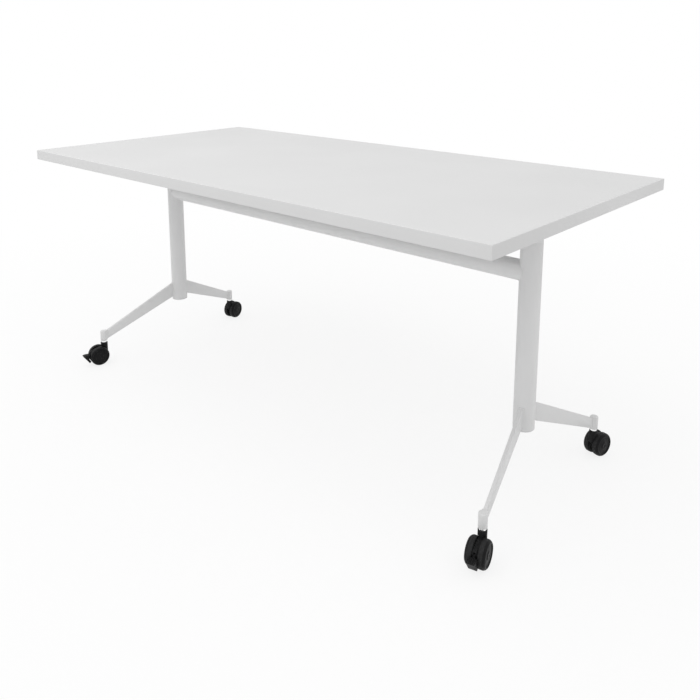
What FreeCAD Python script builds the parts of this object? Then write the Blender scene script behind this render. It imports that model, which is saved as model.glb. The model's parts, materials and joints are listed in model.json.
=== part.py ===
"""Flip-top multipurpose table on castors.

Frame: origin on the floor under the middle of the top, +X along the long side,
-Y towards the front (the braked castors), +Z up. All sizes are in millimetres.
"""
import FreeCAD
import Part
import math
import os

Vec = FreeCAD.Vector
X_AXIS = Vec(1, 0, 0)
Y_AXIS = Vec(0, 1, 0)
Z_AXIS = Vec(0, 0, 1)
ORIGIN = Vec(0, 0, 0)

# Driving dimensions of the top
table_length = 1600.0
table_depth = 800.0
table_height = 712.0
top_thickness = 28.0
edge_band_thickness = 2.0
edge_band_round = 1.2

# Driving dimensions of the frame
column_diameter = 50.0
column_wall = 2.5
column_inset = 137.5
column_bottom = 165.0
column_cap_flange = 3.0
column_cap_round = 2.0
column_cap_depth = 14.0
column_cap_wall = 5.0
beam_diameter = 48.0
beam_wall = 2.0
beam_drop = 144.0
foot_reach = 263.0
foot_splay = 57.5
foot_plate = 8.0
foot_root_rise = 12.0
foot_root_height = 47.0
foot_tip_height = 27.0
socket_diameter = 20.0
socket_length = 33.5
socket_dome = 3.0
socket_bore_depth = 29.0

# Driving dimensions of the tilt head, its hinge and its lock
head_height = 72.0
head_flange = 6.0
head_width = 20.0
head_spigot = 34.0
head_spigot_wall = 5.0
head_foot_inset = 4.0
head_valley_rise = 12.6
head_valley_round = 9.0
head_rim = 4.5
head_web = 9.0
gusset_thickness = 8.0
gusset_reach = 12.0
gusset_height = 18.0
pivot_forward = 32.0
pivot_drop = 24.0
pivot_pin_diameter = 12.0
pivot_pin_head_diameter = 18.0
pivot_pin_head = 3.0
pivot_pin_head_round = 1.0
pivot_pin_tail = 2.0
pivot_pin_tail_round = 0.8
pivot_boss_radius = 15.0
bush_wall = 1.5
bush_flange_radius = 11.0
bush_flange = 1.0
horn_front = 38.0
horn_length = 18.0
horn_round = 2.0
bumper_thickness = 5.0
bumper_side_inset = 1.0
bumper_end_inset = 2.0
bumper_round = 1.5
bracket_plate = 3.0
bracket_cheek = 4.0
bracket_width = 84.0
bracket_front = 62.0
bracket_rear = 92.0
bracket_corner = 8.0
cheek_radius = 14.0
cheek_shoulder = 30.0
cheek_rear = 8.4
cheek_knee_round = 7.0
clip_thickness = 1.2
clip_groove = 1.0
rod_diameter = 10.0
rod_back = 22.0
rod_rise = 11.0
rod_overhang = 4.0
rod_end_round = 1.0
cam_hub_radius = 8.0
cam_lobe_offset = 5.2
cam_lobe_turn = 25.0
cam_width = 16.0
saddle_spacing = 140.0
saddle_width = 14.0
saddle_wall = 5.0
saddle_ear = 13.0
saddle_ear_thickness = 4.0
saddle_ear_round = 1.5
saddle_root_round = 1.0
lever_hub_radius = 9.0
lever_width = 20.0
lever_thickness = 5.0
lever_reach = 150.0
lever_fall = 26.0
lever_taper = 0.5
spring_wire = 2.0
spring_pitch = 2.7
spring_turns = 6
spring_lead = 5.0
spring_peg_turn = 50.0
grip_length = 60.0
grip_width = 70.0
grip_thickness = 12.0
grip_tail = 8.0
grip_corner = 24.0
grip_edge_round = 3.0

# Driving dimensions of the fasteners
screw_shank_diameter = 4.5
screw_head_diameter = 9.0
screw_head = 3.0
screw_head_round = 2.1
screw_bite = 16.0
screw_edge = 12.0

# Driving dimensions of the castors
wheel_diameter = 60.0
wheel_width = 16.5
wheel_shoulder = 5.0
wheel_inner_round = 2.0
wheel_dish = 2.0
wheel_rim = 6.0
wheel_hub_radius = 9.0
wheel_face_wall = 3.0
wheel_recess = 6.0
wheel_recess_wall = 5.0
castor_drop = 45.5
castor_trail = 19.5
castor_neck_radius = 10.0
castor_web = 9.0
castor_web_rim = 2.5
axle_diameter = 8.0
axle_boss_radius = 9.5
axle_boss_round = 8.5
axle_end_round = 0.6
stem_diameter = 11.0
stem_pin_diameter = 10.0
stem_pin_length = 14.8
stem_collar_diameter = 17.0
stem_collar = 4.7
stem_collar_round = 0.5
stem_end_round = 1.0
brake_tongue = 4.0
brake_pivot_diameter = 5.0
brake_pivot_out = 17.0
brake_pivot_up = 10.0
brake_hub_radius = 5.5
brake_width = 18.0
brake_thickness = 9.0
brake_chin = 6.7
brake_rise = 8.0
brake_heel_turn = 28.0
brake_chin_slope = 54.0
brake_round = 2.0
brake_elbow_round = 3.0
brake_tongue_end = 2.0
brake_swing = 4.0
brake_ribs = 3
brake_rib_radius = 1.2
brake_rib_pitch = 4.0

# Clearances
running_clearance = 0.05
press_clearance = 0.02
side_clearance = 0.3
wheel_side_gap = 1.0
wheel_scoop_gap = 1.0
rest_gap = 0.2
spring_gap = 0.6
cam_gap = 0.3
brake_slot_gap = 0.4
brake_wheel_gap = 1.0
brake_pad_gap = 2.0

# Largest share of a wall that the round on its edge may take
round_share = 0.9

# Places worked out from the driving dimensions
underside = table_height - top_thickness
beam_height = underside - beam_drop
column_x = table_length / 2 - column_inset
column_radius = column_diameter / 2
column_bore = column_radius - column_wall
column_top = underside - head_height
wheel_radius = wheel_diameter / 2
socket_bottom = wheel_radius + castor_drop
socket_radius = socket_diameter / 2
foot_length = math.hypot(foot_splay, foot_reach)
pivot_y = -pivot_forward
pivot_z = underside - pivot_drop
rod_y = pivot_y + rod_back
rod_z = pivot_z + rod_rise
rod_radius = rod_diameter / 2
bracket_face = underside - bracket_plate
cheek_inner = head_width / 2 + bush_flange + side_clearance
cheek_outer = cheek_inner + bracket_cheek
wheel_inner = castor_web / 2 + wheel_side_gap
wheel_outer = wheel_inner + wheel_width
neck_top = socket_bottom - stem_collar - side_clearance
brake_pivot = (castor_trail + brake_pivot_out, wheel_radius + brake_pivot_up)

SIDES = {"left": -1, "right": 1}
ENDS = {"front": -1, "rear": 1}

nodes = {}


def rounded_wire(corners, place):
    """Closed wire through corners (u, v, radius), with each corner rounded to its radius."""
    count = len(corners)
    starts = []
    edges = []
    for index in range(count):
        u, v, radius = corners[index]
        before = corners[index - 1]
        after = corners[(index + 1) % count]
        here = Vec(u, v, 0)
        back = (Vec(before[0], before[1], 0) - here).normalize()
        ahead = (Vec(after[0], after[1], 0) - here).normalize()
        if radius <= 0:
            starts.append((here, here, here))
            continue
        half = back.getAngle(ahead) / 2
        reach = radius / math.tan(half)
        middle = (back + ahead).normalize() * (radius / math.sin(half) - radius)
        starts.append((here + back * reach, here + middle, here + ahead * reach))
    for index in range(count):
        entry, middle, leave = starts[index]
        if (leave - entry).Length > 1e-6:
            edges.append(Part.Arc(place(entry), place(middle), place(leave)).toShape())
        following = starts[(index + 1) % count][0]
        if (following - leave).Length > 1e-6:
            edges.append(Part.makeLine(place(leave), place(following)))
    return Part.Wire(edges)


def prism_x(corners, x0, x1):
    """Outline in (y, z), extruded from x0 to x1."""
    wire = rounded_wire(corners, lambda p: Vec(x0, p.x, p.y))
    return Part.Face(wire).extrude(Vec(x1 - x0, 0, 0))


def prism_y(corners, y0, y1):
    """Outline in (x, z), extruded from y0 to y1."""
    wire = rounded_wire(corners, lambda p: Vec(p.x, y0, p.y))
    return Part.Face(wire).extrude(Vec(0, y1 - y0, 0))


def prism_z(corners, z0, z1):
    """Outline in (x, y), extruded from z0 to z1."""
    wire = rounded_wire(corners, lambda p: Vec(p.x, p.y, z0))
    return Part.Face(wire).extrude(Vec(0, 0, z1 - z0))


def link_x(first, first_radius, second, second_radius, x0, x1):
    """Two discs and the straight flanks that touch both, extruded from x0 to x1."""
    du = second[0] - first[0]
    dv = second[1] - first[1]
    span = math.hypot(du, dv)
    lead = math.atan2(dv, du)
    turn = math.acos((first_radius - second_radius) / span)

    def rim(centre, radius, angle):
        return Vec(x0, centre[0] + radius * math.cos(angle), centre[1] + radius * math.sin(angle))

    start = rim(first, first_radius, lead + turn)
    back = rim(first, first_radius, lead + math.pi)
    finish = rim(first, first_radius, lead - turn)
    far_start = rim(second, second_radius, lead - turn)
    nose = rim(second, second_radius, lead)
    far_finish = rim(second, second_radius, lead + turn)
    wire = Part.Wire([
        Part.Arc(start, back, finish).toShape(),
        Part.makeLine(finish, far_start),
        Part.Arc(far_start, nose, far_finish).toShape(),
        Part.makeLine(far_finish, start),
    ])
    return Part.Face(wire).extrude(Vec(x1 - x0, 0, 0))


def turned(profile, base, axis):
    """Solid turned about an axis from a closed outline of (radius, height) corners."""
    side = Y_AXIS if abs(axis.z) > 0.5 else Z_AXIS
    wire = rounded_wire(profile, lambda p: base + side * p.x + axis * p.y)
    return Part.Face(wire).revolve(base, axis, 360)


def cylinder(radius, start, direction, length):
    return Part.makeCylinder(radius, length, start, direction)


def moved(shape, x=0.0, y=0.0, z=0.0):
    copy = shape.copy()
    copy.translate(Vec(x, y, z))
    return copy


def joined(*shapes):
    return shapes[0].fuse(list(shapes[1:])).removeSplitter()


# The top: a melamine-faced board with a plastic band on each edge
def pan_screw(x, y, seat):
    """Pan-head screw that points up, its head under the seat."""
    shank = cylinder(screw_shank_diameter / 2, Vec(x, y, seat), Z_AXIS, underside + screw_bite - seat)
    radius = screw_head_diameter / 2
    head = turned(
        [(0, 0, 0), (radius, 0, 0), (radius, -screw_head, screw_head_round), (0, -screw_head, 0)],
        Vec(x, y, seat), Z_AXIS)
    return joined(shank, head)


def bracket_screw_places(side):
    middle = side * column_x
    across = bracket_width / 2 - screw_edge
    front = pivot_y - bracket_front + screw_edge
    rear = pivot_y + bracket_rear - screw_edge
    lengthwise = [front, pivot_y, rear]
    return [(middle + sign * across, y) for sign in (-1, 1) for y in lengthwise]


def saddle_screw_places(side):
    across = rod_radius + saddle_wall + saddle_ear / 2
    return [(side * saddle_spacing / 2, rod_y + sign * across) for sign in (-1, 1)]


def table_board():
    half_x = table_length / 2 - edge_band_thickness
    half_y = table_depth / 2 - edge_band_thickness
    board = Part.makeBox(2 * half_x, 2 * half_y, top_thickness, Vec(-half_x, -half_y, underside))
    pilots = []
    for side in SIDES.values():
        for x, y in bracket_screw_places(side) + saddle_screw_places(side):
            radius = screw_shank_diameter / 2 + press_clearance
            pilots.append(cylinder(radius, Vec(x, y, underside), Z_AXIS, screw_bite + press_clearance))
    return board.cut(Part.makeCompound(pilots))


def edge_band_profile(outward):
    """Band section beside the board, with its two outer arrises rounded."""
    arris = min(edge_band_round, round_share * edge_band_thickness)
    inner = outward - edge_band_thickness
    return [
        (inner, underside, 0),
        (outward, underside, arris),
        (outward, table_height, arris),
        (inner, table_height, 0),
    ]


def long_edge_bands():
    profile = edge_band_profile(table_depth / 2)
    band = prism_x(profile, -table_length / 2, table_length / 2)
    other = band.copy()
    other.rotate(ORIGIN, Z_AXIS, 180)
    return Part.makeCompound([band, other])


def short_edge_bands():
    half_y = table_depth / 2 - edge_band_thickness
    band = prism_y(edge_band_profile(table_length / 2), -half_y, half_y)
    other = band.copy()
    other.rotate(ORIGIN, Z_AXIS, 180)
    return Part.makeCompound([band, other])


# The frame: two columns, one beam, four blade feet and their castor sockets
def column(side):
    x = side * column_x
    start = Vec(x, 0, column_bottom + column_cap_flange)
    length = column_top - start.z
    tube = cylinder(column_radius, start, Z_AXIS, length)
    return tube.cut(cylinder(column_bore, start, Z_AXIS, length))


def column_cap(side):
    spigot = column_bore - press_clearance
    step = column_cap_flange
    profile = [
        (0, 0, 0),
        (column_radius, 0, min(column_cap_round, round_share * step)),
        (column_radius, step, 0),
        (spigot, step, 0),
        (spigot, column_cap_depth + step, 0),
        (spigot - column_cap_wall, column_cap_depth + step, 0),
        (spigot - column_cap_wall, step, 0),
        (0, step, 0),
    ]
    return turned(profile, Vec(side * column_x, 0, column_bottom), Z_AXIS)


def crossbeam():
    start = Vec(-column_x, 0, beam_height)
    radius = beam_diameter / 2
    tube = cylinder(radius, start, X_AXIS, 2 * column_x)
    tube = tube.cut(cylinder(radius - beam_wall, start, X_AXIS, 2 * column_x))
    for side in SIDES.values():
        foot = Vec(side * column_x, 0, beam_height - beam_diameter)
        tube = tube.cut(cylinder(column_radius, foot, Z_AXIS, 2 * beam_diameter))
    return tube


def foot_angle(side, end):
    return math.degrees(math.atan2(end * foot_reach, side * foot_splay))


def on_foot(shape, side, end):
    """Turn a shape drawn along +X from the column axis to its foot's direction and place."""
    copy = shape.copy()
    copy.rotate(ORIGIN, Z_AXIS, foot_angle(side, end))
    copy.translate(Vec(side * column_x, 0, 0))
    return copy


def foot_blade(side, end):
    root = column_bottom + foot_root_rise
    start = column_radius - column_wall
    finish = foot_length
    run = finish - column_radius

    def bottom(t):
        return root + (socket_bottom - root) * (t - column_radius) / run

    def height(t):
        return foot_root_height + (foot_tip_height - foot_root_height) * (t - column_radius) / run

    outline = [
        (start, bottom(start), 0),
        (finish, bottom(finish), 0),
        (finish, bottom(finish) + height(finish), 0),
        (start, bottom(start) + height(start), 0),
    ]
    blade = prism_y(outline, -foot_plate / 2, foot_plate / 2)
    top = root + 2 * foot_root_height
    blade = blade.cut(cylinder(column_radius, ORIGIN, Z_AXIS, top))
    blade = blade.cut(cylinder(socket_radius, Vec(foot_length, 0, 0), Z_AXIS, top))
    return on_foot(blade, side, end)


def castor_socket(side, end):
    profile = [
        (0, 0, 0),
        (socket_radius, 0, 0),
        (socket_radius, socket_length, socket_dome),
        (0, socket_length, 0),
    ]
    base = Vec(foot_length, 0, socket_bottom)
    body = turned(profile, base, Z_AXIS)
    bore = cylinder(stem_diameter / 2 + press_clearance, base, Z_AXIS, socket_bore_depth)
    return on_foot(body.cut(bore), side, end)


# The tilt head on each column, and the hinge that carries the top
def head_pockets(outline):
    """Pockets in both faces of the head's arm that leave a web, a rim and the pivot boss."""
    half = head_width / 2
    depth = (head_width - head_web) / 2
    boss = cylinder(pivot_boss_radius, Vec(-half, pivot_y, pivot_z), X_AXIS, head_width)
    pockets = []
    for face in (-1, 1):
        wire = rounded_wire(outline, lambda p: Vec(face * half, p.x, p.y))
        floor = Part.Face(wire).makeOffset2D(-head_rim)
        pockets.append(floor.extrude(Vec(-face * depth, 0, 0)).cut(boss))
    return Part.makeCompound(pockets)


def tilt_head(side):
    """Cast head: a pivot boss that reaches forward and a horn that the top rests on."""
    half = head_width / 2
    base = column_top + head_flange
    foot = column_radius - head_foot_inset
    horn_y = pivot_y + horn_front
    horn_top = bracket_face - bumper_thickness
    boss_low = pivot_y - pivot_boss_radius
    boss_high = pivot_y + pivot_boss_radius
    boss_top = pivot_z + pivot_boss_radius
    valley = base + head_valley_rise
    outline = [
        (-foot, base, 0),
        (boss_low, pivot_z - pivot_boss_radius, pivot_boss_radius),
        (boss_low, boss_top, pivot_boss_radius),
        (boss_high, boss_top, pivot_boss_radius),
        (boss_high, valley, head_valley_round),
        (horn_y, valley, head_valley_round),
        (horn_y, horn_top, horn_round),
        (horn_y + horn_length, horn_top, horn_round),
        (horn_y + horn_length, valley, pivot_boss_radius),
        (foot, base, 0),
    ]
    arm = prism_x(outline, -half, half)
    arm = arm.cut(head_pockets(outline))
    gusset = [
        (-half - gusset_reach, base, 0),
        (half + gusset_reach, base, 0),
        (half, base + gusset_height, 0),
        (-half, base + gusset_height, 0),
    ]
    gussets = prism_y(gusset, -gusset_thickness / 2, gusset_thickness / 2)
    flange = cylinder(column_radius, Vec(0, 0, column_top), Z_AXIS, head_flange)
    spigot_radius = column_bore - press_clearance
    spigot_base = Vec(0, 0, column_top - head_spigot)
    spigot = cylinder(spigot_radius, spigot_base, Z_AXIS, head_spigot)
    spigot = spigot.cut(cylinder(spigot_radius - head_spigot_wall, spigot_base, Z_AXIS, head_spigot))
    bore_radius = pivot_pin_diameter / 2 + running_clearance + bush_wall + press_clearance
    bore = cylinder(bore_radius, Vec(-half, pivot_y, pivot_z), X_AXIS, head_width)
    head = joined(arm, gussets, flange, spigot).cut(bore)
    return moved(head, x=side * column_x)


def pivot_bushes():
    """Two flanged bushes in each head, one from each face."""
    inner = pivot_pin_diameter / 2 + running_clearance
    outer = inner + bush_wall
    depth = head_width / 2 - side_clearance
    bushes = []
    for side in SIDES.values():
        for face in (-1, 1):
            profile = [
                (inner, -depth, 0),
                (outer, -depth, 0),
                (outer, 0, 0),
                (bush_flange_radius, 0, 0),
                (bush_flange_radius, bush_flange, 0),
                (inner, bush_flange, 0),
            ]
            base = Vec(side * column_x + face * head_width / 2, pivot_y, pivot_z)
            bushes.append(turned(profile, base, X_AXIS * face))
    return Part.makeCompound(bushes)


def rest_bumpers():
    """Rubber pad on each horn, just under the bracket that rests on it."""
    half = head_width / 2 - bumper_side_inset
    y0 = pivot_y + horn_front + bumper_end_inset
    y1 = pivot_y + horn_front + horn_length - bumper_end_inset
    low = bracket_face - bumper_thickness
    high = bracket_face - rest_gap
    outline = [(y0, low, 0), (y1, low, 0), (y1, high, bumper_round), (y0, high, bumper_round)]
    pad = prism_x(outline, -half, half)
    return Part.makeCompound([moved(pad, x=side * column_x) for side in SIDES.values()])


def top_bracket(side):
    """Steel plate under the top with two cheeks that hang beside the tilt head."""
    half = bracket_width / 2
    front = pivot_y - bracket_front
    rear = pivot_y + bracket_rear
    plate = prism_z(
        [(-half, front, bracket_corner), (half, front, bracket_corner),
         (half, rear, bracket_corner), (-half, rear, bracket_corner)],
        bracket_face, underside)
    low = pivot_z - cheek_radius
    shoulder = rod_y + rod_radius + cheek_rear
    outline = [
        (pivot_y - cheek_shoulder, bracket_face, 0),
        (pivot_y - cheek_radius, low, cheek_radius),
        (pivot_y + cheek_radius, low, cheek_radius),
        (shoulder, pivot_z, cheek_knee_round),
        (shoulder, bracket_face, 0),
    ]
    cheeks = [prism_x(outline, cheek_inner, cheek_outer), prism_x(outline, -cheek_outer, -cheek_inner)]
    bracket = joined(plate, *cheeks)
    span = 2 * cheek_outer
    pin_radius = pivot_pin_diameter / 2 + press_clearance
    pin_hole = cylinder(pin_radius, Vec(-cheek_outer, pivot_y, pivot_z), X_AXIS, span)
    rod_hole = cylinder(rod_radius + running_clearance, Vec(-cheek_outer, rod_y, rod_z), X_AXIS, span)
    bracket = moved(bracket.cut(pin_hole).cut(rod_hole), x=side * column_x)
    holes = []
    for x, y in bracket_screw_places(side):
        radius = screw_shank_diameter / 2 + side_clearance
        holes.append(cylinder(radius, Vec(x, y, bracket_face), Z_AXIS, bracket_plate))
    return bracket.cut(Part.makeCompound(holes))


def bracket_screws():
    screws = []
    for side in SIDES.values():
        screws += [pan_screw(x, y, bracket_face) for x, y in bracket_screw_places(side)]
    return Part.makeCompound(screws)


def pivot_pin(side):
    """Headed pin, grooved for its clip at the inner end."""
    radius = pivot_pin_diameter / 2
    tail = clip_thickness + pivot_pin_tail
    profile = [
        (0, -cheek_outer - pivot_pin_head, 0),
        (pivot_pin_head_diameter / 2, -cheek_outer - pivot_pin_head, pivot_pin_head_round),
        (pivot_pin_head_diameter / 2, -cheek_outer, 0),
        (radius, -cheek_outer, 0),
        (radius, cheek_outer, 0),
        (radius - clip_groove, cheek_outer, 0),
        (radius - clip_groove, cheek_outer + clip_thickness, 0),
        (radius, cheek_outer + clip_thickness, 0),
        (radius, cheek_outer + tail, pivot_pin_tail_round),
        (0, cheek_outer + tail, 0),
    ]
    return turned(profile, Vec(side * column_x, pivot_y, pivot_z), X_AXIS * -side)


def pivot_clips():
    """Snap ring in each pin's groove, open at the bottom."""
    inner = pivot_pin_diameter / 2 - clip_groove
    outer = pivot_pin_head_diameter / 2
    clips = []
    for side in SIDES.values():
        start = Vec(side * (column_x - cheek_outer), pivot_y, pivot_z)
        ring = cylinder(outer, start, X_AXIS * -side, clip_thickness)
        ring = ring.cut(cylinder(inner, start, X_AXIS * -side, clip_thickness))
        mouth = Part.makeBox(2 * clip_thickness, inner, outer)
        mouth.translate(start - Vec(clip_thickness, inner / 2, outer))
        clips.append(ring.cut(mouth))
    return Part.makeCompound(clips)


# The tilt lock: one rod across the table with a cam at each head, turned by a lever
def lock_rod():
    half = column_x + cheek_outer + rod_overhang
    profile = [
        (0, -half, 0),
        (rod_radius, -half, rod_end_round),
        (rod_radius, half, rod_end_round),
        (0, half, 0),
    ]
    return turned(profile, Vec(0, rod_y, rod_z), X_AXIS)


def lock_cam(side):
    """Cam on the rod whose lobe bears on the rim of the pivot boss."""
    toward = math.atan2(-rod_rise, -rod_back) + math.radians(cam_lobe_turn)
    lobe = (rod_y + cam_lobe_offset * math.cos(toward), rod_z + cam_lobe_offset * math.sin(toward))
    lobe_radius = math.hypot(lobe[0] - pivot_y, lobe[1] - pivot_z) - pivot_boss_radius - cam_gap
    half = cam_width / 2
    cam = link_x((rod_y, rod_z), cam_hub_radius, lobe, lobe_radius, -half, half)
    bore = cylinder(rod_radius + press_clearance, Vec(-half, rod_y, rod_z), X_AXIS, cam_width)
    return moved(cam.cut(bore), x=side * column_x)


def rod_saddle(side):
    """Plastic saddle under the top that steadies the rod beside the lever."""
    half = saddle_width / 2
    round_radius = rod_radius + saddle_wall
    ear = round_radius + saddle_ear
    ear_face = underside - saddle_ear_thickness
    outline = [
        (rod_y - ear, underside, 0),
        (rod_y - ear, ear_face, saddle_ear_round),
        (rod_y - round_radius, ear_face, saddle_root_round),
        (rod_y - round_radius, rod_z - round_radius, round_radius),
        (rod_y + round_radius, rod_z - round_radius, round_radius),
        (rod_y + round_radius, ear_face, saddle_root_round),
        (rod_y + ear, ear_face, saddle_ear_round),
        (rod_y + ear, underside, 0),
    ]
    x = side * saddle_spacing / 2
    saddle = prism_x(outline, x - half, x + half)
    bore_radius = rod_radius + running_clearance
    saddle = saddle.cut(cylinder(bore_radius, Vec(x - half, rod_y, rod_z), X_AXIS, saddle_width))
    for sx, sy in saddle_screw_places(side):
        radius = screw_shank_diameter / 2 + side_clearance
        saddle = saddle.cut(cylinder(radius, Vec(sx, sy, ear_face), Z_AXIS, saddle_ear_thickness))
    return saddle


def saddle_screws():
    seat = underside - saddle_ear_thickness
    screws = []
    for side in SIDES.values():
        screws += [pan_screw(x, y, seat) for x, y in saddle_screw_places(side)]
    return Part.makeCompound(screws)


def lever_tip():
    return rod_y + lever_reach, rod_z - lever_fall


def release_lever():
    """Flat lever clamped on the middle of the rod, falling towards the rear."""
    half = lever_width / 2
    tip = lever_tip()
    hub = cylinder(lever_hub_radius, Vec(-half, rod_y, rod_z), X_AXIS, lever_width)
    arm_half = lever_thickness / 2
    arm = link_x((rod_y, rod_z), arm_half + lever_taper, tip, arm_half, -half, half)
    lever = joined(hub, arm)
    return lever.cut(cylinder(rod_radius + press_clearance, Vec(-half, rod_y, rod_z), X_AXIS, lever_width))


def arc_from(start, way, finish):
    """Arc that leaves a point in a given direction and ends at another point."""
    chord = finish - start
    along = chord.normalize()
    half = (finish - start).Length / 2
    aside = way - along * way.dot(along)
    bulge = half * math.tan(way.getAngle(along) / 2)
    middle = (start + finish) * 0.5 + aside.normalize() * bulge
    return Part.Arc(start, middle, finish).toShape()


def biarc(start, start_way, finish, finish_way):
    """Two arcs, tangent to each other and to the directions at both ends."""
    span = finish - start
    bend = 2 * (1 - start_way.dot(finish_way))
    lead = span.dot(start_way + finish_way)
    reach = (math.sqrt(lead * lead + bend * span.dot(span)) - lead) / bend
    near = start + start_way * reach
    far = finish - finish_way * reach
    middle = (near + far) * 0.5
    middle_way = (far - near).normalize()
    return [arc_from(start, start_way, middle), arc_from(middle, middle_way, finish)]


def lock_spring():
    """Torsion spring on the rod: a peg against the lever's hub, open coils, a leg under the top."""
    radius = rod_radius + spring_gap + spring_wire / 2
    rise = spring_pitch / math.tau
    hub_face = -lever_width / 2
    coil_start = hub_face - spring_wire - spring_lead

    def on_coil(turn):
        angle = math.pi - turn
        out = radius * math.cos(angle)
        up = radius * math.sin(angle)
        place = Vec(coil_start - rise * turn, rod_y + out, rod_z + up)
        way = Vec(-rise, up, -out)
        return place, way.normalize()

    peg_angle = math.pi + math.radians(spring_peg_turn)
    peg = Vec(hub_face, rod_y + radius * math.cos(peg_angle), rod_z + radius * math.sin(peg_angle))
    bend = peg - X_AXIS * spring_wire
    edges = [Part.makeLine(peg, bend)]
    place, way = bend, X_AXIS * -1
    quarters = 4 * spring_turns
    for quarter in range(quarters):
        following, following_way = on_coil(quarter * math.pi / 2)
        edges += biarc(place, way, following, following_way)
        place, way = following, following_way
    foot = Vec(coil_start - spring_pitch * spring_turns, rod_y - radius, rod_z)
    edges += biarc(place, way, foot, Z_AXIS)
    edges.append(Part.makeLine(foot, Vec(foot.x, foot.y, underside - rest_gap)))
    path = Part.Wire(edges)
    section = Part.Wire([Part.makeCircle(spring_wire / 2, peg, X_AXIS)])
    shell = Part.BRepOffsetAPI.MakePipeShell(path)
    shell.add(section)
    shell.build()
    shell.makeSolid()
    spring = shell.shape()
    print("spring's least gap to itself", round(least_self_gap(edges, radius), 3), "mm")
    expected = math.pi * (spring_wire / 2) ** 2 * path.Length
    print("spring's volume over section times length", round(spring.Volume / expected, 4))
    return spring


def least_self_gap(edges, radius):
    """Least gap between stretches of the wire that lie at least half a turn apart along it."""
    points = []
    travelled = 0.0
    for edge in edges:
        for place in edge.discretize(12)[:-1]:
            points.append((travelled, place))
        travelled += edge.Length
    least = min(
        (first - second).Length
        for index, (start, first) in enumerate(points)
        for finish, second in points[index + 1:]
        if finish - start > math.pi * radius)
    return least - spring_wire


def release_grip():
    """Moulded paddle pushed over the end of the lever."""
    tip_y, tip_z = lever_tip()
    slope = math.degrees(math.atan2(-lever_fall, lever_reach))
    half = grip_width / 2
    thick = grip_thickness / 2
    root = -grip_length + grip_tail
    outline = [
        (-half, root, grip_thickness),
        (half, root, grip_thickness),
        (half, grip_tail, grip_corner),
        (-half, grip_tail, grip_corner),
    ]
    paddle = prism_z(outline, -thick, thick)
    rims = [edge for edge in paddle.Edges if abs(abs(edge.CenterOfMass.z) - thick) < press_clearance]
    paddle = paddle.makeFillet(min(grip_edge_round, round_share * thick), rims)
    paddle.rotate(ORIGIN, X_AXIS, slope)
    paddle.translate(Vec(0, tip_y, tip_z))
    return paddle.cut(release_lever())


# The castors, drawn with the swivel axis on the origin and the trail along +X
def at_castor(shape, side, end):
    return on_foot(moved(shape, x=foot_length), side, end)


def castor_stem():
    pin = stem_pin_diameter / 2
    stem = stem_diameter / 2
    collar = stem_collar_diameter / 2
    under = -stem_collar
    top = socket_bore_depth - press_clearance
    profile = [
        (0, under - stem_pin_length, 0),
        (pin, under - stem_pin_length, stem_end_round),
        (pin, under, 0),
        (collar, under, stem_collar_round),
        (collar, 0, stem_collar_round),
        (stem, 0, 0),
        (stem, top, stem_end_round),
        (0, top, 0),
    ]
    return turned(profile, Vec(0, 0, socket_bottom), Z_AXIS)


def castor_housing(braked):
    """Moulded centre body: a round neck for the stem and a web between the wheels."""
    half = castor_web / 2
    rim = wheel_radius - castor_web_rim
    low = wheel_radius - axle_boss_radius
    front = -castor_neck_radius
    shoulder = wheel_radius + rim
    rear = castor_trail + rim
    outline = [
        (front, neck_top, 0),
        (front, wheel_radius + castor_neck_radius, castor_neck_radius),
        (castor_trail - axle_boss_radius, low, axle_boss_round),
        (castor_trail + axle_boss_radius, low, axle_boss_round),
        (rear, wheel_radius, castor_neck_radius),
        (rear, shoulder - castor_neck_radius, castor_neck_radius),
        (castor_trail, shoulder, castor_neck_radius),
        (castor_neck_radius, shoulder, 0),
        (castor_neck_radius, neck_top, 0),
    ]
    web = prism_y(outline, -half, half)
    neck_low = wheel_radius + castor_neck_radius
    neck = cylinder(castor_neck_radius, Vec(0, 0, neck_low), Z_AXIS, neck_top - neck_low)
    scoop_radius = wheel_radius + wheel_scoop_gap
    for face in (-1, 1):
        start = Vec(castor_trail, face * half, wheel_radius)
        neck = neck.cut(cylinder(scoop_radius, start, Y_AXIS * face, wheel_width))
    body = joined(web, neck)
    bore_depth = stem_pin_length + side_clearance
    bore_radius = stem_pin_diameter / 2 + running_clearance
    body = body.cut(cylinder(bore_radius, Vec(0, 0, neck_top - bore_depth), Z_AXIS, bore_depth))
    axle_start = Vec(castor_trail, -half, wheel_radius)
    body = body.cut(cylinder(axle_diameter / 2 + press_clearance, axle_start, Y_AXIS, castor_web))
    if braked:
        body = body.cut(brake_slot())
        pivot = Vec(brake_pivot[0], -half, brake_pivot[1])
        pivot_radius = brake_pivot_diameter / 2 + running_clearance
        body = body.cut(cylinder(pivot_radius, pivot, Y_AXIS, castor_web))
    return body


def brake_slot():
    """Slot in the rear of the web for the brake lever's tongue and its swing."""
    half = brake_tongue / 2 + brake_slot_gap
    inner = castor_trail + axle_boss_radius
    outer = castor_trail + wheel_diameter
    low = brake_pivot[1] - brake_hub_radius - brake_swing
    high = brake_pivot[1] + brake_hub_radius + brake_slot_gap
    return Part.makeBox(outer - inner, 2 * half, high - low, Vec(inner, -half, low))


def castor_axle():
    half = wheel_outer - wheel_face_wall - side_clearance
    profile = [
        (0, -half, 0),
        (axle_diameter / 2, -half, axle_end_round),
        (axle_diameter / 2, half, axle_end_round),
        (0, half, 0),
    ]
    return turned(profile, Vec(castor_trail, 0, wheel_radius), Y_AXIS)


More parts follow.
